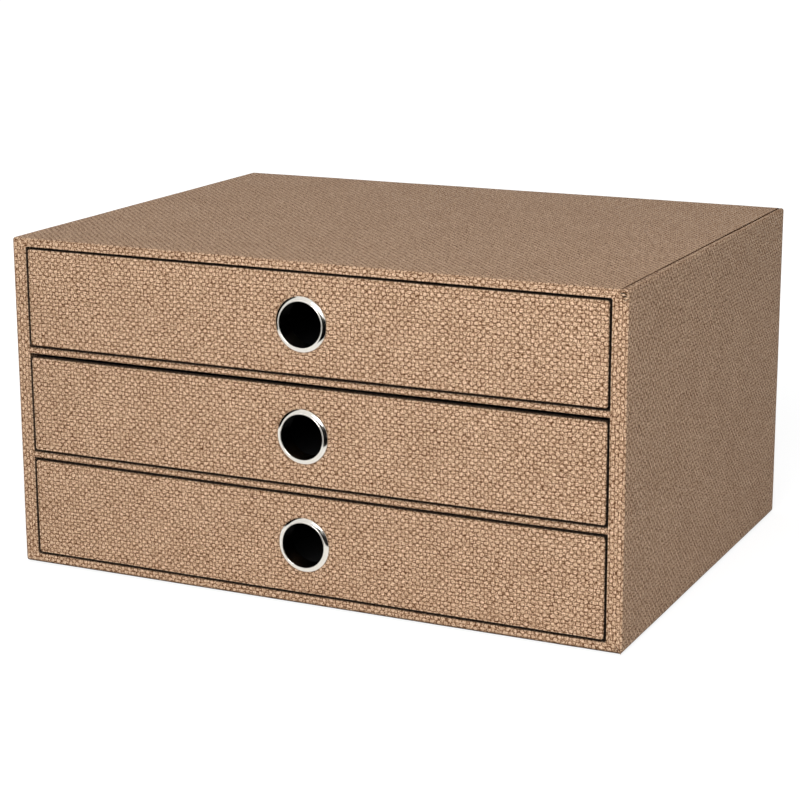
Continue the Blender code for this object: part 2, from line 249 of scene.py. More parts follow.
def side_points(row, side, shares):
    """One side of a rounded rectangle, as points with their distance along the unrolled side."""
    normal, along = SIDES[side]
    rect, corner = row.rect, row.corner
    centre = Vector(((rect.p0 + rect.p1) / 2, (rect.q0 + rect.q1) / 2))
    half = Vector(((rect.p1 - rect.p0) / 2, (rect.q1 - rect.q0) / 2))
    reach = abs(half.dot(normal))
    straight = abs(half.dot(along)) - corner
    turns = [math.pi / 4 * step / CORNER_STEPS for step in range(1, CORNER_STEPS + 1)]
    start = [(-straight - corner * math.sin(angle), corner * (1 - math.cos(angle)),
              -straight - corner * angle) for angle in reversed(turns)]
    middle = [(straight * (2 * share - 1), 0.0, straight * (2 * share - 1)) for share in shares]
    end = [(-run, drop, -unrolled) for run, drop, unrolled in reversed(start)]
    return [(centre + along * run + normal * (reach - drop), centre.dot(along) + unrolled)
            for run, drop, unrolled in start + middle + end]


def reach_of(row, side):
    """How far out one side of a row is, along the side's normal."""
    normal, rect = SIDES[side][0], row.rect
    return max(normal.dot(Vector((rect.p0, rect.q0))), normal.dot(Vector((rect.p1, rect.q1))))


def paths(rows, side, zero):
    """Distance of each row from the zero row, over the paper."""
    spots = [Vector((reach_of(row, side), row.depth)) for row in rows]
    total = [0.0]
    for last, spot in zip(spots, spots[1:]):
        total.append(total[-1] + (spot - last).length)
    return [distance - total[zero] for distance in total]


def towards_hole(point, hole, share):
    """Moves a point of the face towards the edge of a round hole."""
    centre = Vector((hole.x, hole.z))
    edge = centre + (point - centre).normalized() * hole.radius
    return point.lerp(edge, share)


def as_wrapper(rows, zero):
    """Places on the flat sheet for paper that covers a panel and folds back over its edges."""
    def place(side, run, path):
        normal, along = SIDES[side]
        return along * run + normal * (reach_of(rows[zero], side) + path)
    return place


def as_sleeve(rows, zero, shares):
    """Places on the flat sheet for paper that runs round a box."""
    starts, total = {}, 0.0
    for side in SIDES:
        runs = [run for _, run in side_points(rows[zero], side, shares[side])]
        starts[side] = total - runs[0]
        total += runs[-1] - runs[0]

    def place(side, run, path):
        return Vector((starts[side] + run, path))
    return place


def skin(rows, plane, shares, place, zero, hole=None):
    """Points and sheet places of the rows, as one strip for each side."""
    strips = []
    for side in SIDES:
        strip = []
        for row, path in zip(rows, paths(rows, side, zero)):
            line = []
            for point, run in side_points(row, side, shares[side]):
                spot = place(side, run, path)
                if row.to_hole:
                    point = spot = towards_hole(point, hole, row.to_hole)
                line.append((plane(point.x, point.y, row.depth), spot))
            strip.append(line)
        strips.append(strip)
    return strips


def thick(face_rows, under_rows, plane, shares, place, zero, hole=None, closed=True):
    """A sheet's face and underside, joined over its edges, as one strip for each side."""
    strips = []
    for face, under in zip(skin(face_rows, plane, shares, place, zero, hole),
                           skin(under_rows, plane, shares, place, zero, hole)):
        back = [[(point, spot) for (point, _), (_, spot) in zip(low, high)]
                for low, high in zip(under, face)]
        strips.append(face + back[::-1] + ([face[0]] if closed else []))
    return strips


def cut_edges(rows):
    """The rows of a closed sheet that start its two cut edges."""
    return len(rows) - 1, 2 * len(rows) - 1


def add_quads(form, layer, strip, edge_rows=()):
    """Faces between the rows of a strip. The rows in edge_rows start a cut edge of the paper."""
    made = [[form.verts.new(point) for point, _ in line] for line in strip]
    for r in range(len(strip) - 1):
        for c in range(len(strip[r]) - 1):
            corners = ((r, c), (r, c + 1), (r + 1, c + 1), (r + 1, c))
            face = form.faces.new([made[i][j] for i, j in corners])
            face.material_index = 1 if r in edge_rows else 0
            for loop, (i, j) in zip(face.loops, corners):
                loop[layer].uv = strip[i][j][1]


def piece(name, strips, body, materials, form_at=None, edge_rows=()):
    """A closed mesh from strips of points, which rides on a body."""
    form = bmesh.new()
    layer = form.loops.layers.uv.new("weave")
    for strip in strips:
        add_quads(form, layer, strip, edge_rows)
    bmesh.ops.remove_doubles(form, verts=form.verts, dist=WELD)
    bmesh.ops.dissolve_degenerate(form, edges=form.edges, dist=WELD)
    if form_at:
        for vert in form.verts:
            vert.co = form_at(vert.co.copy())
    bmesh.ops.recalc_face_normals(form, faces=form.faces)
    mesh = bpy.data.meshes.new(name)
    form.to_mesh(mesh)
    form.free()
    mesh.shade_smooth()
    mesh.set_sharp_from_angle(angle=SMOOTH_ANGLE)
    thing = bpy.data.objects.new(name, mesh)
    bpy.context.scene.collection.objects.link(thing)
    for material in materials:
        mesh.materials.append(material)
    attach(thing, body)
    return thing


class Graph:
    """Makes and joins the nodes of one material or world."""

    def __init__(self, holder):
        holder.use_nodes = True
        self.holder = holder
        self.tree = holder.node_tree
        self.tree.nodes.clear()

    def add(self, kind, inputs=None, output=0, **settings):
        node = self.tree.nodes.new("ShaderNode" + kind)
        for key, value in settings.items():
            setattr(node, key, value)
        for socket, value in (inputs or {}).items():
            self.feed(node.inputs[socket], value)
        return node.outputs[output] if node.outputs else None

    def feed(self, socket, value):
        if isinstance(value, bpy.types.NodeSocket):
            self.tree.links.new(value, socket)
        else:
            socket.default_value = value

    def math(self, operation, first, second):
        return self.add("Math", {0: first, 1: second}, operation=operation)

    def ramp(self, value, low, high, to_low=0.0, to_high=1.0):
        """A smooth step from to_low to to_high as the value goes from low to high."""
        return self.add("MapRange", {"Value": value, "From Min": low, "From Max": high,
                                     "To Min": to_low, "To Max": to_high},
                        interpolation_type="SMOOTHSTEP")

    def about_one(self, value, swing):
        """Turns a value from 0 to 1 into a factor around 1."""
        return self.add("MapRange", {"Value": value, "To Min": 1 - swing, "To Max": 1 + swing})

    def mix(self, factor, first, second):
        """Mixes two colours: 0, 6 and 7 are the node's sockets for that."""
        return self.add("Mix", {0: factor, 6: first, 7: second}, output=2, data_type="RGBA")

    def times(self, vector, factor):
        return self.add("VectorMath", {0: vector, "Scale": factor}, operation="SCALE")

    def scaled(self, vector, scale, turn=0.0):
        return self.add("Mapping", {"Vector": vector, "Scale": scale, "Rotation": (0, 0, turn)})

    def colours(self, value, stops):
        """A colour ramp through stops of (position, colour)."""
        output = self.add("ValToRGB", {"Fac": value})
        elements = output.node.color_ramp.elements
        while len(elements) < len(stops):
            elements.new(1.0)
        for element, (position, colour) in zip(elements, stops):
            element.position, element.color = position, colour
        return output

    def summed(self, start, terms):
        """The start value plus each value's departure from a half, times its weight."""
        for value, weight in terms:
            start = self.add("Math", {0: self.math("SUBTRACT", value, 0.5), 1: weight, 2: start},
                             operation="MULTIPLY_ADD")
        return start

    def noise(self, vector, scale, detail, output="Fac"):
        return self.add("TexNoise", {"Vector": vector, "Scale": scale, "Detail": detail},
                        output=output)

    def bump(self, height, strength):
        """The normal over a height in metres."""
        return self.add("Bump", {"Strength": strength, "Distance": 1.0, "Height": height})

    def shade(self, colour, roughness, normal=None, **constants):
        """The shader. Constants are set on its own sockets."""
        inputs = {"Base Color": colour, "Roughness": roughness}
        inputs.update({key.replace("_", " "): value for key, value in constants.items()})
        if normal is not None:
            inputs["Normal"] = normal
        shader = self.add("BsdfPrincipled", inputs)
        self.add("OutputMaterial", {"Surface": shader})
        return self.holder


# Weave of the covering paper: its pitch, and half sizes of the floats and of the bits between
WEAVE_ACROSS = 0.00190
WEAVE_UP = 0.00195
FLOAT_HALF = (0.00116, 0.00096)
BIT_HALF = (0.00056, 0.00042)
BIT_LEVEL = 0.70
DOME_POWER = 3.0
PEBBLE_HEIGHT = 0.00016
GRAIN_SHARE = 0.12
FLOAT_JITTER = 0.16
SIZE_SWING = 0.10
HALF_CELL = 0.5
LATTICE_TURN = math.pi / 4

# Waves per metre of sheet: what pushes the threads aside and how far, and what tints them
STRAYS = ((70.0, 0.0012), (600.0, 0.0006))
THREAD_RUN = 60
MOTTLE_WAVE = 38.0
PATCH_WAVE = 330.0
SPECKLE_WAVE = 1500.0
FIBRE_WAVES = (450, 1700, 1)

# The painted highlight's spot on each thread and the way to its side with painted shade, in half
# sizes of a float, and the limits of the steps
PAINTED_HIGHLIGHT_SPOT = (0.20, 0.30, 0)
PAINTED_SHADE_WAY = (-0.55, -0.83, 0)
PAINTED_HIGHLIGHT_STEP = (0.75, 0.10)
FLOAT_STEP = (1.15, 0.85)
BIT_STEP = (1.2, 0.3)
LINE_INSIDE = (0.88, 1.00)
LINE_OUTSIDE = (1.30, 1.14)
LINE_SHADE_BY_SIDE = (-0.6, 0.7, 0.35, 1.0)
LINE_BY_PATCH = (0.25, 0.70, 0.70, 1.0)
STREAK_FIBRE = (0.50, 0.34)
STREAK_REACH = (0.90, 1.15)

# How light the print is, with painted light in it: a middle tone, less its dark lines and streaks,
# and the weight of each part that makes it lighter or darker, a painted highlight among them
MIDDLE_TONE = 0.68
LINE_DEPTH = 0.94
STREAK_DEPTH = 0.48
TONE_WEIGHTS = {"float": 0.12, "painted_highlight": 0.13, "bit": 0.14, "tint": 0.10, "patch": 0.09,
                "mottle": 0.13, "rows": 0.12, "columns": 0.08, "speckle": 2.30, "fibre": 0.85}
PRINT_ROUGHNESS = (0.85, 0.60)
VALLEY_COLOUR = (0.086, 0.027, 0.006, 1)
GROUND_COLOUR = (0.450, 0.282, 0.170, 1)
THREAD_COLOUR = (0.800, 0.580, 0.405, 1)

# Painted shade in narrow gaps: its reach, and the limits of its step
GAP_SHADE_REACH = 0.003
GAP_SHADE_STEP = (0.50, 0.95, 0.08, 1.0)


def in_lattice(size):
    """A size on the sheet in steps of the weave's slanted lattice."""
    return (size[0] / (math.sqrt(2) * WEAVE_ACROSS), size[1] / (math.sqrt(2) * WEAVE_UP), 1)


def thread_floats(graph, place, half):
    """For each spot, where it lies on the nearest float of a thread, and a random colour."""
    inputs = {"Vector": place, "Scale": 1.0, "Randomness": FLOAT_JITTER}
    middle = graph.add("TexVoronoi", inputs, output="Position", voronoi_dimensions="2D")
    chance = graph.add("TexVoronoi", inputs, output="Color", voronoi_dimensions="2D")
    offset = graph.add("VectorMath", {0: place, 1: middle}, operation="SUBTRACT")
    offset = graph.add("Mapping", {"Vector": offset, "Scale": in_lattice(half),
                                   "Rotation": (0, 0, LATTICE_TURN)}, vector_type="TEXTURE")
    return offset, chance


def how_far(graph, offset):
    return graph.add("VectorMath", {0: offset}, output="Value", operation="LENGTH")


def domed(graph, reach):
    fall = graph.math("POWER", reach, DOME_POWER)
    return graph.math("MAXIMUM", graph.math("SUBTRACT", 1.0, fall), 0.0)


def painted_gap_shade(graph):
    """1 in the open, and less in gaps a few millimetres wide: painted shade that darkens the
    colour.
    """
    shut_in = graph.add("AmbientOcclusion", {"Distance": GAP_SHADE_REACH}, output="AO", samples=4)
    return graph.ramp(shut_in, *GAP_SHADE_STEP)


def pushed_aside(graph, sheet):
    """Places on the sheet, pushed a little aside so that the threads wander."""
    strayed = sheet
    for wave, stray in STRAYS:
        strayed = graph.add("VectorMath", {0: graph.noise(sheet, wave, 2.0, "Color"),
                                           1: (stray,) * 3, 2: strayed},
                            operation="MULTIPLY_ADD")
    return strayed


def paper_noises(graph, sheet, strayed):
    """The uneven parts of the paper's tone, from whole rows of threads down to fibres."""
    return {
        "patch": graph.noise(sheet, PATCH_WAVE, 1.0),
        "mottle": graph.noise(sheet, MOTTLE_WAVE, 3.0),
        "rows": graph.noise(graph.scaled(strayed, (THREAD_RUN, 1 / WEAVE_UP, 1)), 1.0, 1.0),
        "columns": graph.noise(graph.scaled(strayed, (1 / WEAVE_ACROSS, THREAD_RUN, 1)), 1.0, 1.0),
        "speckle": graph.noise(sheet, SPECKLE_WAVE, 2.0),
        "fibre": graph.noise(graph.scaled(strayed, FIBRE_WAVES), 1.0, 2.0),
    }


def embossed(graph, reach, bit_reach, parts):
    """The height of the embossed threads, of the bits between them and of the grain."""
    bit = graph.math("MULTIPLY", domed(graph, bit_reach), BIT_LEVEL)
    height = graph.math("MAXIMUM", domed(graph, reach), bit)
    grain = graph.math("MULTIPLY", graph.math("ADD", parts["speckle"], parts["fibre"]),
                       GRAIN_SHARE)
    return graph.math("MULTIPLY", graph.math("ADD", height, grain), PEBBLE_HEIGHT)


def tone_with_painted_light(graph, offset, reach, parts):
    """How light the print is: 0 in the dark line, 1 on the thread, with painted shade and
    highlight.
    """
    # Painted shade: the print's dark line is deepest on the side of each thread away from the lamp
    side = graph.add("VectorMath", {0: offset, 1: PAINTED_SHADE_WAY}, output="Value",
                     operation="DOT_PRODUCT")
    line = graph.math("MULTIPLY", graph.ramp(reach, *LINE_INSIDE),
                      graph.ramp(reach, *LINE_OUTSIDE))
    line = graph.math("MULTIPLY", line, graph.ramp(side, *LINE_SHADE_BY_SIDE))
    line = graph.math("MULTIPLY", line, graph.ramp(parts["patch"], *LINE_BY_PATCH))
    streak = graph.math("MULTIPLY", graph.ramp(parts["fibre"], *STREAK_FIBRE),
                        graph.ramp(reach, *STREAK_REACH))
    tone = graph.math("SUBTRACT", MIDDLE_TONE, graph.math("MULTIPLY", line, LINE_DEPTH))
    tone = graph.math("SUBTRACT", tone, graph.math("MULTIPLY", streak, STREAK_DEPTH))
    return graph.summed(tone, [(parts[part], weight) for part, weight in TONE_WEIGHTS.items()])


def woven_paper():
    """Paper embossed and printed as a plain weave: rounded threads with brown outlines, and
    painted light.
    """
    graph = Graph(bpy.data.materials.new("woven_paper"))
    sheet = graph.add("UVMap", uv_map="weave")
    strayed = pushed_aside(graph, sheet)
    lattice = graph.scaled(strayed, in_lattice((1, 1)), LATTICE_TURN)
    between_lattice = graph.add("VectorMath", {0: lattice, 1: (HALF_CELL, HALF_CELL, 0)},
                                operation="ADD")
    offset, chance = thread_floats(graph, lattice, FLOAT_HALF)
    bit_offset, _ = thread_floats(graph, between_lattice, BIT_HALF)
    size = graph.add("SeparateColor", {0: chance}, output=1)
    reach = graph.math("MULTIPLY", how_far(graph, offset), graph.about_one(size, SIZE_SWING))
    bit_reach = how_far(graph, bit_offset)
    # Painted highlight: a light spot on each thread, on its side towards the lamp
    from_highlight = graph.add("VectorMath", {0: offset, 1: PAINTED_HIGHLIGHT_SPOT}, operation="SUBTRACT")

    parts = paper_noises(graph, sheet, strayed)
    parts["float"] = graph.ramp(reach, *FLOAT_STEP)
    parts["painted_highlight"] = graph.ramp(how_far(graph, from_highlight), *PAINTED_HIGHLIGHT_STEP)
    parts["bit"] = graph.ramp(bit_reach, *BIT_STEP)
    parts["tint"] = graph.add("SeparateColor", {0: chance}, output=0)
    tone = tone_with_painted_light(graph, offset, reach, parts)
    colour = graph.colours(tone, ((0.0, VALLEY_COLOUR), (0.5, GROUND_COLOUR),
                                  (1.0, THREAD_COLOUR)))
    # Painted shade: the paper's colour is darkened in narrow gaps, such as those round the fronts
    colour = graph.times(colour, painted_gap_shade(graph))
    roughness = graph.ramp(tone, 0.0, 1.0, *PRINT_ROUGHNESS)
    normal = graph.bump(embossed(graph, reach, bit_reach, parts), 1.0)
    return graph.shade(colour, roughness, normal, Specular_IOR_Level=0.2)


# The paper's cut edge, and painted shade in the seam's groove and under the folds
EDGE_AND_SHADE_COLOUR = (0.036, 0.017, 0.008, 1)
EDGE_AND_SHADE_WAVE = 260.0
EDGE_AND_SHADE_STEP = (0.40, 0.68)
EDGE_AND_SHADE_ROUGHNESS = (0.2, 0.8, 0.9, 1.0)

# Black lining paper
FELT_COLOURS = ((0.010, 0.010, 0.011, 1), (0.026, 0.025, 0.026, 1))
FELT_WAVE = 2600.0
FELT_CLOUD_WAVE = 28.0
FELT_FIBRE_WAVES = (260, 900, 500)
FELT_CLOUD_SWING = 0.3
FELT_FIBRE_SWING = 0.25
FELT_HEIGHT = 0.00004
FELT_ROUGHNESS = (0.2, 0.8, 0.62, 0.78)

# Greyboard
BOARD_COLOURS = ((0.235, 0.205, 0.170, 1), (0.345, 0.315, 0.275, 1))
BOARD_CLOUD_WAVE = 34.0
BOARD_FIBRE_WAVES = (240, 1100, 1100)
BOARD_FIBRE_SWING = 0.16
FLECK_COLOUR = (0.090, 0.075, 0.060, 1)
FLECK_WAVE = 900.0
FLECK_STEP = (0.66, 0.74)
BOARD_HEIGHT = 0.00006
BOARD_ROUGHNESS = (0.2, 0.8, 0.86, 0.96)

# Plated steel
STEEL_COLOURS = ((0.70, 0.67, 0.61, 1), (0.80, 0.77, 0.71, 1))
SMEAR_WAVE = 420.0
SCRATCH_WAVES = (900, 900, 5200)
SCRATCH_HEIGHT = 0.000004
STEEL_ROUGHNESS = (0.3, 0.8, 0.10, 0.16)


def cut_edge_and_shade():
    """The paper's cut edge, and painted shade as the dark line of the seam and of creases."""
    graph = Graph(bpy.data.materials.new("cut_edge_and_shade"))
    spot = graph.add("TexCoord", output="Object")
    patch = graph.noise(spot, EDGE_AND_SHADE_WAVE, 3.0)
    colour = graph.mix(graph.ramp(patch, *EDGE_AND_SHADE_STEP), EDGE_AND_SHADE_COLOUR, VALLEY_COLOUR)
    return graph.shade(colour, graph.ramp(patch, *EDGE_AND_SHADE_ROUGHNESS), Specular_IOR_Level=0.0)


def dark_paper():
    """Black lining paper with a fine felt grain."""
    graph = Graph(bpy.data.materials.new("dark_paper"))
    spot = graph.add("TexCoord", output="Object")
    grain = graph.noise(spot, FELT_WAVE, 3.0)
    cloud = graph.noise(spot, FELT_CLOUD_WAVE, 4.0)
    fibre = graph.noise(graph.scaled(spot, FELT_FIBRE_WAVES), 1.0, 3.0)
    colour = graph.mix(grain, *FELT_COLOURS)
    colour = graph.times(colour, graph.about_one(cloud, FELT_CLOUD_SWING))
    colour = graph.times(colour, graph.about_one(fibre, FELT_FIBRE_SWING))
    height = graph.math("MULTIPLY", graph.math("ADD", grain, fibre), FELT_HEIGHT)
    return graph.shade(colour, graph.ramp(cloud, *FELT_ROUGHNESS), graph.bump(height, 0.8),
                       Specular_IOR_Level=0.3)


def greyboard():
    """Recycled board: grey, with fibres, flecks and cloudy patches."""
    graph = Graph(bpy.data.materials.new("greyboard"))
    spot = graph.add("TexCoord", output="Object")
    cloud = graph.noise(spot, BOARD_CLOUD_WAVE, 4.0)
    fibre = graph.noise(graph.scaled(spot, BOARD_FIBRE_WAVES), 1.0, 3.0)
    fleck = graph.noise(spot, FLECK_WAVE, 2.0)
    colour = graph.mix(cloud, *BOARD_COLOURS)
    colour = graph.mix(graph.ramp(fleck, *FLECK_STEP), colour, FLECK_COLOUR)
    colour = graph.times(colour, graph.about_one(fibre, BOARD_FIBRE_SWING))
    height = graph.math("MULTIPLY", graph.math("ADD", fibre, fleck), BOARD_HEIGHT)
    return graph.shade(colour, graph.ramp(cloud, *BOARD_ROUGHNESS), graph.bump(height, 0.8),
                       Specular_IOR_Level=0.25)


def eyelet_metal():
    """Bright plated steel with faint handling marks."""
    graph = Graph(bpy.data.materials.new("eyelet_metal"))
    spot = graph.add("TexCoord", output="Object")
    smear = graph.noise(spot, SMEAR_WAVE, 3.0)
    scratch = graph.noise(graph.scaled(spot, SCRATCH_WAVES), 1.0, 2.0)
    colour = graph.mix(smear, *STEEL_COLOURS)
    normal = graph.bump(graph.math("MULTIPLY", scratch, SCRATCH_HEIGHT), 0.2)
    return graph.shade(colour, graph.ramp(smear, *STEEL_ROUGHNESS), normal, Metallic=1.0)


WOVEN = woven_paper()
EDGE_AND_SHADE = cut_edge_and_shade()
DARK = dark_paper()
BOARD = greyboard()
METAL = eyelet_metal()


def seam_fade(y):
    """The seam's groove starts a little behind the front edge."""
    start = CASE_LOW.y + SEAM_START
    return min(max((y - start) / SEAM_START, 0.0), 1.0)


def way_back(y):
    """0 at the front of the case and 1 at its back."""
    return (y - CASE_LOW.y) / (CASE_HIGH.y - CASE_LOW.y)


def seam_lean(y):
    """The seam runs a little aslant, and ends nearer to the edge at the back."""
    return SEAM_LEAN * (way_back(y) - 1 / 2)


def seam_spread(y):
    """The seam is tight at the front and opens towards the back, a little unevenly."""
    swing = noise.noise(Vector((0, y / SEAM_WAVE, 0))) * SEAM_UNEVEN
    return SEAM_TIGHT + (1 - SEAM_TIGHT) * way_back(y) + swing


def by_seam(point, walls):
    """Whether a point of the face is in the seam, or within so many wall widths beside it."""
    return (abs(point.x - SEAM_X) < SEAM_WIDTH / 2 + walls * SEAM_WALL
            and point.z > CASE_HIGH.z - CASE_ROOM - PAPER / 2)


def case_form(point):
    """Unevenness of the case, and the groove of the seam."""
    moved = point + wobble(point, CASE_PATCH)
    if by_seam(point, 3 / 2):
        moved.x += seam_lean(point.y) + (point.x - SEAM_X) * (seam_spread(point.y) - 1)
    if by_seam(point, 1 / 2):
        moved.z -= SEAM_DEPTH * seam_fade(point.y)
    return kept_inside(moved)


def case_shares():
    """Where the columns of points stand along each side of the case: four keep to the seam."""
    shares = even_shares(WIDE_STEPS, TALL_STEPS)
    straight = CASE_HIGH.x - CASE_ROOM - CASE_EDGE
    for offset in (SEAM_WIDTH / 2, SEAM_WIDTH / 2 + SEAM_WALL):
        for x in (SEAM_X - offset, SEAM_X + offset):
            shares["top"].append((1 - x / straight) / 2)
    shares["top"].sort()
    return shares


def case_rows(inset):
    """The case's paper from its turned-in edge over the rim and round the box to the back."""
    mouth = Rect(-MOUTH_X, MOUTH_X, MOUTH_FLOOR, MOUTH_CEILING)
    outer = shrunk(Rect(CASE_LOW.x, CASE_HIGH.x, CASE_LOW.z, CASE_HIGH.z), CASE_ROOM)
    front, back = CASE_LOW.y, CASE_HIGH.y - CASE_ROOM
    rows = [Row(grown(mouth, inset), MOUTH_CORNER + inset, front + TURN_IN)]
    for angle in quarter():
        grow = inset + (MOUTH_EDGE - inset) * (1 - math.cos(angle))
        depth = front + inset + (MOUTH_EDGE - inset) * (1 - math.sin(angle))
        rows.append(Row(grown(mouth, grow), MOUTH_CORNER + grow, depth))
    for share in WALL_SHARES:
        rect = between(grown(mouth, MOUTH_EDGE), shrunk(outer, CASE_EDGE), share)
        rows.append(Row(rect, MOUTH_CORNER * (1 - share) + SMALLEST_CORNER, front + inset))
    rows += near_bend(outer, CASE_EDGE, CASE_EDGE, front, inset)
    for share in evenly(DEEP_STEPS)[1:-1]:
        depth = front + CASE_EDGE + (back - front - 2 * CASE_EDGE) * share
        rows.append(Row(shrunk(outer, inset), rounded(CASE_EDGE, inset), depth))
    rows += far_bend(outer, CASE_EDGE, CASE_EDGE, back, inset)
    rows.append(Row(shrunk(outer, CASE_TURN_OVER), SMALLEST_CORNER, back - inset))
    return rows


def case_paper():
    """The sheet round the box, in at the mouth and over at the back."""
    face, under = case_rows(0.0), case_rows(PAPER)
    # The zero row is the last one of the front edge's bend
    zero = len(quarter()) * 2 + len(WALL_SHARES)
    shares = case_shares()
    strips = thick(face, under, upright, shares, as_sleeve(face, zero, shares), zero)
    paper = piece("case_paper", strips, "case", (WOVEN, EDGE_AND_SHADE), case_form,
                  cut_edges(face))
    # Painted shade: the faces in the seam's groove get the dark colour of the cut edge
    for polygon in paper.data.polygons:
        depth = SEAM_DEPTH * seam_fade(polygon.center.y)
        centre = polygon.center + Vector((-seam_lean(polygon.center.y), 0, depth))
        if depth > 0 and by_seam(centre, 1 / 2):
            polygon.material_index = 1
    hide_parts("case_cover")


def flat_rows(rect, low, high):
    """A thin sheet as one closed skin, from the middle of one face to the middle of the other."""
    edge = (high - low) / 2
    inner = shrunk(rect, edge)
    halfway = between(ridge(inner), inner, 1 / 2)
    rows = [Row(ridge(inner), 0.0, low), Row(halfway, 0.0, low)]
    for angle in quarter():
        rows.append(Row(shrunk(rect, edge * (1 - math.sin(angle))), SHEET_CORNER,
                        low + edge * (1 - math.cos(angle))))
    for angle in quarter()[1:]:
        rows.append(Row(shrunk(rect, edge * (1 - math.cos(angle))), SHEET_CORNER,
                        high - edge * (1 - math.sin(angle))))
    return rows + [Row(halfway, 0.0, high), Row(ridge(inner), 0.0, high)]


def flat_sheet(node, name, plane):
    """A glued sheet with slightly uneven edges, which replaces a plain one."""
    low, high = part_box(node)
    if plane is upright:
        rect, span = Rect(low.x, high.x, low.z, high.z), (low.y, high.y)
    else:
        rect, span = Rect(low.x, high.x, low.y, high.y), (low.z, high.z)
    rows = flat_rows(rect, *span)
    # The zero row is the first one of the edge's bend, after two rows on the face
    zero = 2
    shares = even_shares(WIDE_STEPS, TALL_STEPS)
    strips = skin(rows, plane, shares, as_wrapper(rows, zero), zero)

    def form_at(point):
        """Moves the edges only: the sheet stays flat on its board."""
        moved = wobble(point, FLAT_PATCH)
        if plane is upright:
            moved.y = 0
        else:
            moved.z = 0
        return point + moved
    sheet = piece(name, strips, "case", (WOVEN,), form_at)
    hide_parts(node)


def shelf_profile(low, high, inset):
    """The paper over a shelf from back to nose to back, as points (y, z)."""
    nose = SHELF_NOSE - inset
    front = low.y + SHELF_NOSE
    points = [Vector((high.y, low.z + inset)), Vector((low.y + TURN_IN, low.z + inset))]
    for angle in quarter():
        points.append(Vector((front - nose * math.sin(angle),
                              low.z + SHELF_NOSE - nose * math.cos(angle))))
    for angle in quarter():
        points.append(Vector((front - nose * math.cos(angle),
                              high.z - SHELF_NOSE + nose * math.sin(angle))))
    points += [Vector((low.y + TURN_IN, high.z - inset)), Vector((high.y, high.z - inset))]
    return points


def shelf_paper(node, patch):
    """The paper round a shelf's front edge, closed at its ends."""
    low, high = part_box(node)
    face, under = shelf_profile(low, high, 0.0), shelf_profile(low, high, PAPER)
    reach = MOUTH_X + SHELF_REACH
    columns = [reach * (2 * share - 1) for share in evenly(WIDE_STEPS)]
    path, strip = 0.0, []
    for index, point in enumerate(face):
        path += (point - face[index - 1]).length if index else 0.0
        strip.append([(Vector((x, *point)), Vector((x, path))) for x in columns])
    back = [[(Vector((x, *point)), spot) for x, (_, spot) in zip(columns, line)]
            for point, line in zip(under, strip)]
    ends = [[[line[end] for line in strip], [line[end] for line in back]] for end in (0, -1)]
    body = strip + back[::-1] + [strip[0]]
    paper = piece(f"{node}_paper", [body, *ends], "case", (WOVEN, EDGE_AND_SHADE),
                  uneven(patch))
    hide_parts(node)


def front_rows(rect, front, back, inset):
    """A drawer front's paper from its finger hole over the face and edges to the back."""
    face = shrunk(rect, FRONT_EDGE)
    corner = rounded(FRONT_CORNER, FRONT_EDGE)
    rows = [Row(face, corner, front + inset, share) for share in HOLE_SHARES]
    rows += near_bend(rect, FRONT_EDGE, FRONT_CORNER, front, inset)
    rows += far_bend(rect, FRONT_BACK_EDGE, FRONT_CORNER, back, inset)
    rows.append(Row(shrunk(rect, FRONT_TURN_OVER), SMALLEST_CORNER, back - inset))
    return rows


def finger_hole(drawer):
    """The hole through a drawer's front, as wide as the opening of the eyelet's washer."""
    low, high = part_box(f"{drawer}_eyelet_washer")
    return Hole((low.x + high.x) / 2, (low.z + high.z) / 2, (high.x - low.x) / 2 - WASHER_BAND)


def front_paper(drawer, hole, patch):
    """The paper round a drawer's front board."""
    low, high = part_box(f"{drawer}_front_cover")
    rect = shrunk(Rect(low.x, high.x, low.z, high.z), FRONT_ROOM)
    face, under = (front_rows(rect, low.y, high.y, inset) for inset in (0.0, PAPER))
    # The zero row is the first one of the front edge's bend
    zero = len(HOLE_SHARES)
    strips = thick(face, under, upright, even_shares(WIDE_STEPS, FRONT_STEPS),
                   as_wrapper(face, zero), zero, hole)
    paper = piece(f"{drawer}_front_paper", strips, drawer, (WOVEN, EDGE_AND_SHADE),
                  uneven(patch), cut_edges(face))
    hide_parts(f"{drawer}_front_cover")


def tray_rows(rect, low, top, wall, inset):
    """A tray's outside paper from the middle of its floor, up, over the rim and down inside."""
    rows = [Row(ridge(rect), 0.0, low + inset)]
    rows += near_bend(rect, TRAY_EDGE, TRAY_CORNER, low, inset)
    for share in WALL_SHARES:
        depth = low + TRAY_EDGE + (top - low - TRAY_EDGE - TRAY_RIM) * share
        rows.append(Row(shrunk(rect, inset), rounded(TRAY_CORNER, inset), depth))
    rows += far_bend(rect, TRAY_RIM, TRAY_CORNER, top, inset)
    for angle in quarter():
        shrink = wall - inset - (TRAY_RIM - inset) * (1 - math.sin(angle))
        depth = top - inset - (TRAY_RIM - inset) * (1 - math.cos(angle))
        rows.append(Row(shrunk(rect, shrink), rounded(TRAY_CORNER, shrink), depth))
    rows.append(Row(shrunk(rect, wall - inset), rounded(TRAY_CORNER, wall), top - TRAY_TURN_IN))
    return rows


def lining_rows(rect, low, top, inset):
    """A tray's lining from the middle of its floor up to just under the rim."""
    rows = [Row(ridge(rect), 0.0, low + inset)]
    rows += near_bend(rect, LINING_EDGE, LINING_EDGE, low, inset)
    for share in LINING_SHARES:
        depth = low + LINING_EDGE + (top - LINING_DROP - low - LINING_EDGE) * share
        rows.append(Row(shrunk(rect, inset), rounded(LINING_EDGE, inset), depth))
    return rows


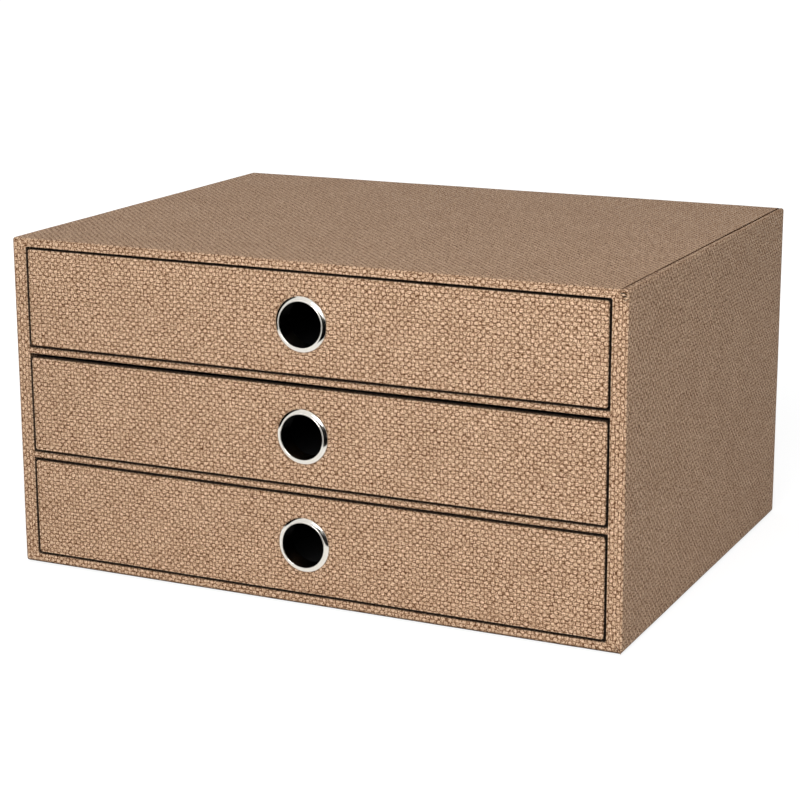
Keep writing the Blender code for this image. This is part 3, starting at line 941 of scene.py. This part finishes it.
def pierced(thing, hole, span):
    """Cuts the round finger hole through a piece, between two values of y."""
    form = bmesh.new()
    bmesh.ops.create_cone(form, cap_ends=True, segments=RING_STEPS, radius1=hole.radius,
                          radius2=hole.radius, depth=span[1] - span[0])
    turn = Matrix.Rotation(math.pi / 2, 4, "X")
    bmesh.ops.transform(form, verts=form.verts,
                        matrix=Matrix.Translation((hole.x, sum(span) / 2, hole.z)) @ turn)
    mesh = bpy.data.meshes.new("hole_cutter")
    form.to_mesh(mesh)
    form.free()
    cutter = bpy.data.objects.new("hole_cutter", mesh)
    bpy.context.scene.collection.objects.link(cutter)
    boolean = thing.modifiers.new("finger hole", "BOOLEAN")
    boolean.operation = "DIFFERENCE"
    boolean.solver = "EXACT"
    boolean.object = cutter
    solved = thing.evaluated_get(bpy.context.evaluated_depsgraph_get())
    pierced_mesh = bpy.data.meshes.new_from_object(solved)
    thing.modifiers.clear()
    thing.data = pierced_mesh
    bpy.data.objects.remove(cutter)


def tray_paper(name, node, drawer, face, under):
    """A dark paper of a tray, from the rows of its face and its underside."""
    # The zero row is the first one of the floor edge's bend
    zero = 1
    strips = thick(face, under, level, even_shares(TALL_STEPS, TALL_STEPS),
                   as_wrapper(face, zero), zero, closed=False)
    paper = piece(name, strips, drawer, (DARK,))
    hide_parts(node)
    return paper


def tray_papers(drawer, hole):
    """The tray's outside paper and its lining, both with the finger hole."""
    cover_low, cover_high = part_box(f"{drawer}_tray_cover")
    low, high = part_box(f"{drawer}_lining")
    wall = cover_high.x - high.x
    rect = Rect(cover_low.x, cover_high.x, cover_low.y, cover_high.y)
    cover = tray_paper(f"{drawer}_tray_paper", f"{drawer}_tray_cover", drawer,
                       *(tray_rows(rect, cover_low.z, cover_high.z, wall, inset)
                         for inset in (0.0, DARK_PAPER)))
    rect = Rect(low.x, high.x, low.y, high.y)
    lining = tray_paper(f"{drawer}_inner_paper", f"{drawer}_lining", drawer,
                        *(lining_rows(rect, low.z, high.z, inset)
                          for inset in (0.0, DARK_PAPER)))
    for thing in (cover, lining):
        pierced(thing, hole, (cover_low.y - wall, low.y + wall))


# The eyelet's face: a rounded rim, a domed slope up to the crest, and a bead at the opening.
# Tilts and ends of arcs are in degrees.
FLANGE_LIP = 0.0005
RIM_RADIUS = 0.0004
RIM_TILT = 40
RIM_STEPS = 5
DOME_STEPS = 8
CREST_REACH = 0.00072
CREST_RADIUS = 0.0005
CREST_TILT = 12
CREST_END = 110
CREST_STEPS = 6
BEAD = 0.00024
BEAD_START = 30
BEAD_STEPS = 8

# The eyelet's barrel, its roll behind the washer, and the washer
EYELET_BAND = 0.0020
EYELET_WALL = 0.0005
ROLL = 0.0006
ROLL_STEPS = 6
WASHER_BAND = 0.0020
WASHER_THICKNESS = 0.0005
WASHER_STEPS = 8
RING_STEPS = 128


def arc(centre, radius, start, end, steps):
    """Points of an arc as (radius, y), between two angles in degrees."""
    angles = [math.radians(start + (end - start) * step / steps) for step in range(steps + 1)]
    return [(centre[0] + radius * math.cos(angle), centre[1] - radius * math.sin(angle))
            for angle in angles]


def turned(name, profile, hole, drawer, node):
    """A ring round the hole from a closed profile of (radius, y) points."""
    profile = profile + profile[:1]
    path, strip = 0.0, []
    for index, (radius, y) in enumerate(profile):
        path += math.dist((radius, y), profile[index - 1]) if index else 0.0
        line = []
        for step in range(RING_STEPS + 1):
            angle = 2 * math.pi * step / RING_STEPS
            point = Vector((hole.x + radius * math.cos(angle), y,
                            hole.z + radius * math.sin(angle)))
            line.append((point, Vector((radius * angle, path))))
        strip.append(line)
    ring = piece(name, [strip], drawer, (METAL,))
    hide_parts(node)


def eyelet_profile(flange, opening, front, back):
    """A domed flange with a bead round the opening, a barrel, and the roll behind."""
    barrel = opening + EYELET_WALL
    crest = opening + CREST_REACH
    steep, slight = math.radians(RIM_TILT), math.radians(CREST_TILT)
    rim = arc((flange - RIM_RADIUS, front), RIM_RADIUS, 0, 90 - RIM_TILT, RIM_STEPS)
    radius = (rim[-1][0] - crest) / (math.sin(steep) - math.sin(slight))
    dome = arc((crest - radius * math.sin(slight), rim[-1][1] + radius * math.cos(steep)),
               radius, 90 - RIM_TILT, 90 - CREST_TILT, DOME_STEPS)
    top = arc((crest - CREST_RADIUS * math.sin(slight),
               dome[-1][1] + CREST_RADIUS * math.cos(slight)),
              CREST_RADIUS, 90 - CREST_TILT, CREST_END, CREST_STEPS)
    bead_y = top[-1][1] + BEAD * math.sin(math.radians(BEAD_START))
    bead = arc((opening + BEAD, bead_y), BEAD, BEAD_START, 180, BEAD_STEPS)
    roll = arc((barrel + ROLL, back - ROLL), ROLL, 270, 360, ROLL_STEPS)
    roll_end = (barrel + 2 * ROLL, back - 2 * ROLL)
    inside = [(opening, back - ROLL), (opening, back)]
    outside = [roll_end, (barrel, roll_end[1]), (barrel, front)]
    return rim + dome + top + bead + inside + roll + outside


def eyelet(drawer, hole):
    low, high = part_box(f"{drawer}_eyelet")
    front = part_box(f"{drawer}_front_cover")[0].y
    radius = (high.x - low.x) / 2
    profile = eyelet_profile(radius + FLANGE_LIP, radius - EYELET_BAND, front, high.y)
    turned(f"{drawer}_ring", profile, hole, drawer, f"{drawer}_eyelet")


def washer(drawer, hole):
    low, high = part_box(f"{drawer}_eyelet_washer")
    edge = WASHER_THICKNESS / 2
    rim = (high.x - low.x) / 2 - edge
    profile = [(hole.radius, high.y), (hole.radius, low.y), (rim, low.y)]
    profile += arc((rim, (low.y + high.y) / 2), edge, 90, -90, WASHER_STEPS)
    turned(f"{drawer}_washer_ring", profile + [(rim, high.y)], hole, drawer,
           f"{drawer}_eyelet_washer")


# Small folds at the corners. A ridge is its two ends, as distances in and down from the corner,
# its width and its height. Faces of a ridge whose normal's z is below the fold's shade limit get
# painted shade, the dark colour of a crease.
FOLD_STEPS = 10
FOLD_SHADE_TILT = -0.20
CASE_PLEATS = (((0.0045, 0.0012), (0.0007, 0.0011), 0.0010, 0.00060),
               ((0.0042, 0.0025), (0.0007, 0.0025), 0.0013, 0.00080),
               ((0.0029, 0.0041), (0.0005, 0.0042), 0.0016, 0.00080))
CASE_MITRE = (((0.0036, -0.0040), (0.0003, -0.0003), 0.0009, 0.00055),)
FRONT_FOLD = (((0.0040, 0.0005), (0.0014, 0.0015), 0.0007, 0.00035),)


def fold_strips(surface, start, end, width, height):
    """A small ridge of folded paper along a line on an upright face, as points (x, z)."""
    start, end = Vector(start), Vector(end)
    across = (end - start).orthogonal().normalized()
    if across.y < 0:
        across = -across
    strip = []
    for step in range(FOLD_STEPS + 1):
        share = step / FOLD_STEPS
        taper = math.sin(math.pi * share) ** 0.5
        middle = start.lerp(end, share)
        line = []
        for turn in range(FOLD_STEPS + 1):
            angle = math.pi * turn / FOLD_STEPS
            spot = middle + across * (math.cos(angle) * width / 2 * taper)
            rise = math.sin(angle) * height * taper
            line.append((Vector((spot.x, surface - rise, spot.y)), spot))
        for spot in (line[-1][1], line[0][1]):
            line.append((Vector((spot.x, surface + height * taper, spot.y)), spot))
        strip.append(line + line[:1])
    return strip


def folds(name, body, surface, corner, ridges):
    """Ridges of folded paper near a corner, given as (x, z), of an upright face."""
    strips = []
    for start, end, width, height in ridges:
        ends = [(corner[0] - inward, corner[1] - down) for inward, down in (start, end)]
        strips.append(fold_strips(surface, *ends, width, height))
    thing = piece(name, strips, body, (WOVEN, EDGE_AND_SHADE))
    # Painted shade: the faces of a ridge that look down get the dark colour
    for polygon in thing.data.polygons:
        if polygon.normal.z < FOLD_SHADE_TILT:
            polygon.material_index = 1


def corner_folds():
    """The hand-folded corners of the papers, at the right end of the rim and two fronts."""
    front, right = CASE_LOW.y, CASE_HIGH.x
    folds("case_corner_pleats", "case", front, (right, CASE_HIGH.z), CASE_PLEATS)
    folds("case_corner_mitre", "case", front, (right, CASE_LOW.z), CASE_MITRE)
    for drawer in ("bottom_drawer", "middle_drawer"):
        low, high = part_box(f"{drawer}_front_cover")
        folds(f"{drawer}_corner_fold", drawer, low.y, (high.x, high.z), FRONT_FOLD)


def dress_boards():
    """The carried-over nodes keep their shapes and get their finish."""
    for name, node in frame["nodes"].items():
        if not node.hide_render:
            node.data.materials.clear()
            node.data.materials.append(DARK if name == "base_lining" else BOARD)


def build():
    case_paper()
    flat_sheet("back_sheet", "back_paper", upright)
    flat_sheet("base_sheet", "base_paper", level)
    for node, patch in SHELF_PATCHES.items():
        shelf_paper(node, patch)
    for drawer, patch in FRONT_PATCHES.items():
        hole = finger_hole(drawer)
        front_paper(drawer, hole, patch)
        tray_papers(drawer, hole)
        eyelet(drawer, hole)
        washer(drawer, hole)
    corner_folds()
    dress_boards()


# Camera, solved from the corners of the box in the photograph
CAMERA_PLACE = (0.4898, -1.0417, 0.3686)
CAMERA_AZIMUTH = math.radians(25.516)
CAMERA_ELEVATION = math.radians(13.376)
CAMERA_ROLL = math.radians(-0.203)
CAMERA_LENS = 98.42
CAMERA_SHIFT = -0.04
CAMERA_NEAR = 0.01
SENSOR = 36.0


def camera():
    data = bpy.data.cameras.new("camera")
    data.sensor_width = SENSOR
    data.lens = CAMERA_LENS
    data.shift_y = CAMERA_SHIFT
    data.clip_start = CAMERA_NEAR
    thing = bpy.data.objects.new("camera", data)
    bpy.context.scene.collection.objects.link(thing)
    flat = math.cos(CAMERA_ELEVATION)
    away = Vector((math.sin(CAMERA_AZIMUTH) * flat, -math.cos(CAMERA_AZIMUTH) * flat,
                   math.sin(CAMERA_ELEVATION)))
    turn = (-away).to_track_quat("-Z", "Y").to_matrix().to_4x4()
    roll = Matrix.Rotation(CAMERA_ROLL, 4, "Z")
    thing.matrix_world = Matrix.Translation(CAMERA_PLACE) @ turn @ roll
    bpy.context.scene.camera = thing


# The lamps: where each stands, where it points, its size, its power in watts and its colour
LAMPS = {
    "key": ((0.42, -1.65, 0.86), (0.0, -0.1, 0.09), (0.9, 0.6), 25.8, (1, 1, 1)),
    "side": ((1.30, -0.35, 0.50), (0.1675, 0.0, 0.09), (0.8, 0.8), 1.1, (0.72, 0.90, 1.0)),
    "top": ((-0.3, 0.1, 1.5), (0.0, 0.0, 0.1), (1.2, 1.2), 4.2, (1, 1, 1)),
}
WORLD_LEVEL = 0.25

# The floor: half its width, its colour, and where it shows its colour and a glow, which grows
# outwards between two distances
FLOOR_HALF = 6.0
FLOOR_COLOUR = (0.90, 0.90, 0.90, 1)
FLOOR_SHOWN = (0.30, 0.30, 0.30, 1)
GLOW_LEVELS = (0.84, 1.0)
GLOW_REACH = (0.30, 0.80)

# Corners of the black cards: one leans away at the right of the fronts, one stands at their left
CARD_COLOUR = (0.004, 0.004, 0.004, 1)
CARDS = {
    "right_card": ((-0.02, -0.35, 0.0), (0.22, -0.155, 0.0),
                   (0.34, -0.17, 0.18), (-0.02, -0.47, 0.18)),
    "left_card": ((-0.21, -0.127, 0.064), (-0.21, -0.29, 0.064),
                  (-0.21, -0.29, 0.40), (-0.21, -0.127, 0.40)),
}


def shown_rays(graph):
    """1 for the rays that show the background: to the camera, in metal and through glass."""
    camera_ray = graph.add("LightPath", output="Is Camera Ray")
    glossy = graph.add("LightPath", output="Is Glossy Ray")
    through = graph.add("LightPath", output="Is Transmission Ray")
    return graph.math("MAXIMUM", camera_ray, graph.math("MAXIMUM", glossy, through))


def panel(name, corners, material):
    """A flat four-cornered piece of the studio."""
    mesh = bpy.data.meshes.new(name)
    mesh.from_pydata(corners, [], [(0, 1, 2, 3)])
    mesh.materials.append(material)
    thing = bpy.data.objects.new(name, mesh)
    bpy.context.scene.collection.objects.link(thing)
    return thing


def floor():
    """A pale floor that shows white and keeps the box's shadow."""
    graph = Graph(bpy.data.materials.new("floor"))
    shown = shown_rays(graph)
    colour = graph.mix(shown, FLOOR_COLOUR, FLOOR_SHOWN)
    matt = graph.add("BsdfDiffuse", {"Color": colour})
    white = graph.ramp(how_far(graph, graph.add("TexCoord", output="Object")),
                       *GLOW_REACH, *GLOW_LEVELS)
    glow = graph.add("Emission", {"Strength": graph.math("MULTIPLY", shown, white)})
    graph.add("OutputMaterial", {"Surface": graph.add("AddShader", {0: matt, 1: glow})})
    just_below = -PAPER / 4
    panel("floor", [(x * FLOOR_HALF, y * FLOOR_HALF, just_below)
                    for x, y in ((-1, -1), (1, -1), (1, 1), (-1, 1))], graph.holder)


def cards():
    """Two black cards beside the box, which show only as dark streaks in the metal."""
    graph = Graph(bpy.data.materials.new("black_card"))
    graph.add("OutputMaterial", {"Surface": graph.add("BsdfDiffuse", {"Color": CARD_COLOUR})})
    for name, corners in CARDS.items():
        card = panel(name, corners, graph.holder)
        card.visible_camera = False
        card.visible_diffuse = False
        card.visible_transmission = False
        card.visible_shadow = False


def world():
    graph = Graph(bpy.data.worlds.new("world"))
    bpy.context.scene.world = graph.holder
    strength = graph.add("MapRange", {"Value": shown_rays(graph), "To Min": WORLD_LEVEL})
    background = graph.add("Background", {"Color": (1, 1, 1, 1), "Strength": strength})
    graph.add("OutputWorld", {"Surface": background})


def lamp(name, place, target, size, power, colour):
    data = bpy.data.lights.new(name, "AREA")
    data.shape = "RECTANGLE"
    data.size, data.size_y = size
    data.energy = power
    data.color = colour
    thing = bpy.data.objects.new(name, data)
    thing.location = place
    thing.rotation_euler = (Vector(target) - Vector(place)).to_track_quat("-Z", "Y").to_euler()
    bpy.context.scene.collection.objects.link(thing)


build()
camera()
floor()
cards()
world()
for name, settings in LAMPS.items():
    lamp(name, *settings)
bpy.context.scene.view_settings.view_transform = "Standard"
